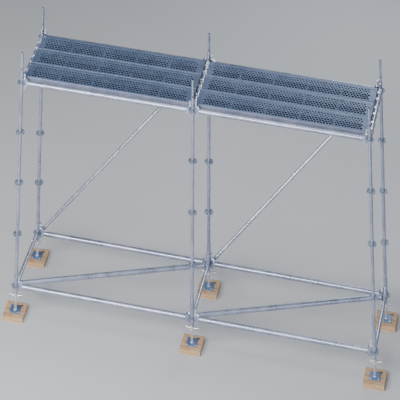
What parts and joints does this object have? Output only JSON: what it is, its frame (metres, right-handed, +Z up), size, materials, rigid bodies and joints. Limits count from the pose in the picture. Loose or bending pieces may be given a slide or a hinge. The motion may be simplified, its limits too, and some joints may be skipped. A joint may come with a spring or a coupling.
{
  "type": "modular scaffold section",
  "caption": "Two-bay modular tube scaffold section with wedge-locked ledgers, diagonals, perforated hook-on decks, and screw jacks on timber sole boards.",
  "frame": {"origin": "floor level under the middle of the section, midway between the front and back posts", "axes": "+X along the bays to the right, +Y from the front posts to the back posts, +Z up"},
  "size_m": [5.439, 1.383, 2.577],
  "materials": {
    "galvanized_tube": "hot-dip galvanized, cool grey with faint spangle",
    "cast_steel": "galvanized forging, matt",
    "wedge_steel": "bright galvanized plate with hammer marks",
    "plated_steel": "zinc plated, bluish",
    "deck_steel": "galvanized perforated sheet",
    "timber": "sawn softwood with grain and a knot"
  },
  "bodies": {
    "stance": {"sole_board_front_left": "timber", "sole_board_front_middle": "timber", "sole_board_front_right": "timber", "sole_board_back_left": "timber", "sole_board_back_middle": "timber", "sole_board_back_right": "timber", "screw_jack_front_left": "plated_steel", "screw_jack_front_middle": "plated_steel", "screw_jack_front_right": "plated_steel", "screw_jack_back_left": "plated_steel", "screw_jack_back_middle": "plated_steel", "screw_jack_back_right": "plated_steel", "plate_nails": "wedge_steel"},
    "frame": {"base_collar_front_left": "galvanized_tube", "base_collar_front_middle": "galvanized_tube", "base_collar_front_right": "galvanized_tube", "base_collar_back_left": "galvanized_tube", "base_collar_back_middle": "galvanized_tube", "base_collar_back_right": "galvanized_tube", "standard_front_left": "galvanized_tube", "standard_front_middle": "galvanized_tube", "standard_front_right": "galvanized_tube", "standard_back_left": "galvanized_tube", "standard_back_middle": "galvanized_tube", "standard_back_right": "galvanized_tube", "ledgers_front_base": "galvanized_tube", "ledgers_front_top": "galvanized_tube", "ledgers_back_base": "galvanized_tube", "ledgers_back_top": "galvanized_tube", "transoms_base": "galvanized_tube", "transoms_top": "galvanized_tube", "plan_braces": "galvanized_tube", "face_braces": "galvanized_tube", "brace_heads": "cast_steel", "brace_pins": "wedge_steel", "rosettes": "cast_steel"},
    "nut_front_left": {"wing_nut_front_left": "cast_steel"},
    "nut_front_middle": {"wing_nut_front_middle": "cast_steel"},
    "nut_front_right": {"wing_nut_front_right": "cast_steel"},
    "nut_back_left": {"wing_nut_back_left": "cast_steel"},
    "nut_back_middle": {"wing_nut_back_middle": "cast_steel"},
    "nut_back_right": {"wing_nut_back_right": "cast_steel"},
    "deck_left_front": {"deck_left_front": "deck_steel"},
    "deck_left_centre": {"deck_left_centre": "deck_steel"},
    "deck_left_back": {"deck_left_back": "deck_steel"},
    "deck_right_front": {"deck_right_front": "deck_steel"},
    "deck_right_centre": {"deck_right_centre": "deck_steel"},
    "deck_right_back": {"deck_right_back": "deck_steel"},
    "wedges_base_front_left": {"wedges_base_front_left": "wedge_steel"},
    "wedges_base_front_middle": {"wedges_base_front_middle": "wedge_steel"},
    "wedges_base_front_right": {"wedges_base_front_right": "wedge_steel"},
    "wedges_base_back_left": {"wedges_base_back_left": "wedge_steel"},
    "wedges_base_back_middle": {"wedges_base_back_middle": "wedge_steel"},
    "wedges_base_back_right": {"wedges_base_back_right": "wedge_steel"},
    "wedges_top_front_left": {"wedges_top_front_left": "wedge_steel"},
    "wedges_top_front_middle": {"wedges_top_front_middle": "wedge_steel"},
    "wedges_top_front_right": {"wedges_top_front_right": "wedge_steel"},
    "wedges_top_back_left": {"wedges_top_back_left": "wedge_steel"},
    "wedges_top_back_middle": {"wedges_top_back_middle": "wedge_steel"},
    "wedges_top_back_right": {"wedges_top_back_right": "wedge_steel"}
  },
  "joints": [
    {"name": "frame_lift", "type": "slide", "parent": "stance", "child": "frame", "axis": [0, 0, 1], "range_m": [-0.1, 0.25]},
    {"name": "nut_turn_front_left", "type": "hinge", "parent": "frame", "child": "nut_front_left", "pos_m": [-2.572, -0.544, 0.182], "axis": [0, 0, 1], "range_deg": [-4510, 11260]},
    {"name": "nut_turn_front_middle", "type": "hinge", "parent": "frame", "child": "nut_front_middle", "pos_m": [0, -0.544, 0.182], "axis": [0, 0, 1], "range_deg": [-4510, 11260]},
    {"name": "nut_turn_front_right", "type": "hinge", "parent": "frame", "child": "nut_front_right", "pos_m": [2.572, -0.544, 0.182], "axis": [0, 0, 1], "range_deg": [-4510, 11260]},
    {"name": "nut_turn_back_left", "type": "hinge", "parent": "frame", "child": "nut_back_left", "pos_m": [-2.572, 0.544, 0.182], "axis": [0, 0, 1], "range_deg": [-4510, 11260]},
    {"name": "nut_turn_back_middle", "type": "hinge", "parent": "frame", "child": "nut_back_middle", "pos_m": [0, 0.544, 0.182], "axis": [0, 0, 1], "range_deg": [-4510, 11260]},
    {"name": "nut_turn_back_right", "type": "hinge", "parent": "frame", "child": "nut_back_right", "pos_m": [2.572, 0.544, 0.182], "axis": [0, 0, 1], "range_deg": [-4510, 11260]},
    {"name": "deck_lift_left_front", "type": "slide", "parent": "frame", "child": "deck_left_front", "axis": [0, 0, 1], "range_m": [0, 0.3]},
    {"name": "deck_lift_left_centre", "type": "slide", "parent": "frame", "child": "deck_left_centre", "axis": [0, 0, 1], "range_m": [0, 0.3]},
    {"name": "deck_lift_left_back", "type": "slide", "parent": "frame", "child": "deck_left_back", "axis": [0, 0, 1], "range_m": [0, 0.3]},
    {"name": "deck_lift_right_front", "type": "slide", "parent": "frame", "child": "deck_right_front", "axis": [0, 0, 1], "range_m": [0, 0.3]},
    {"name": "deck_lift_right_centre", "type": "slide", "parent": "frame", "child": "deck_right_centre", "axis": [0, 0, 1], "range_m": [0, 0.3]},
    {"name": "deck_lift_right_back", "type": "slide", "parent": "frame", "child": "deck_right_back", "axis": [0, 0, 1], "range_m": [0, 0.3]},
    {"name": "wedge_slide_base_front_left", "type": "slide", "parent": "frame", "child": "wedges_base_front_left", "axis": [0, 0, 1], "range_m": [0, 0.085]},
    {"name": "wedge_slide_base_front_middle", "type": "slide", "parent": "frame", "child": "wedges_base_front_middle", "axis": [0, 0, 1], "range_m": [0, 0.085]},
    {"name": "wedge_slide_base_front_right", "type": "slide", "parent": "frame", "child": "wedges_base_front_right", "axis": [0, 0, 1], "range_m": [0, 0.085]},
    {"name": "wedge_slide_base_back_left", "type": "slide", "parent": "frame", "child": "wedges_base_back_left", "axis": [0, 0, 1], "range_m": [0, 0.085]},
    {"name": "wedge_slide_base_back_middle", "type": "slide", "parent": "frame", "child": "wedges_base_back_middle", "axis": [0, 0, 1], "range_m": [0, 0.085]},
    {"name": "wedge_slide_base_back_right", "type": "slide", "parent": "frame", "child": "wedges_base_back_right", "axis": [0, 0, 1], "range_m": [0, 0.085]},
    {"name": "wedge_slide_top_front_left", "type": "slide", "parent": "frame", "child": "wedges_top_front_left", "axis": [0, 0, 1], "range_m": [0, 0.085]},
    {"name": "wedge_slide_top_front_middle", "type": "slide", "parent": "frame", "child": "wedges_top_front_middle", "axis": [0, 0, 1], "range_m": [0, 0.085]},
    {"name": "wedge_slide_top_front_right", "type": "slide", "parent": "frame", "child": "wedges_top_front_right", "axis": [0, 0, 1], "range_m": [0, 0.085]},
    {"name": "wedge_slide_top_back_left", "type": "slide", "parent": "frame", "child": "wedges_top_back_left", "axis": [0, 0, 1], "range_m": [0, 0.085]},
    {"name": "wedge_slide_top_back_middle", "type": "slide", "parent": "frame", "child": "wedges_top_back_middle", "axis": [0, 0, 1], "range_m": [0, 0.085]},
    {"name": "wedge_slide_top_back_right", "type": "slide", "parent": "frame", "child": "wedges_top_back_right", "axis": [0, 0, 1], "range_m": [0, 0.085]}
  ],
  "couplings": [
    {"joint": "nut_turn_front_left", "follows": "frame_lift", "rad_per_m": 785.4},
    {"joint": "nut_turn_front_middle", "follows": "frame_lift", "rad_per_m": 785.4},
    {"joint": "nut_turn_front_right", "follows": "frame_lift", "rad_per_m": 785.4},
    {"joint": "nut_turn_back_left", "follows": "frame_lift", "rad_per_m": 785.4},
    {"joint": "nut_turn_back_middle", "follows": "frame_lift", "rad_per_m": 785.4},
    {"joint": "nut_turn_back_right", "follows": "frame_lift", "rad_per_m": 785.4}
  ]
}
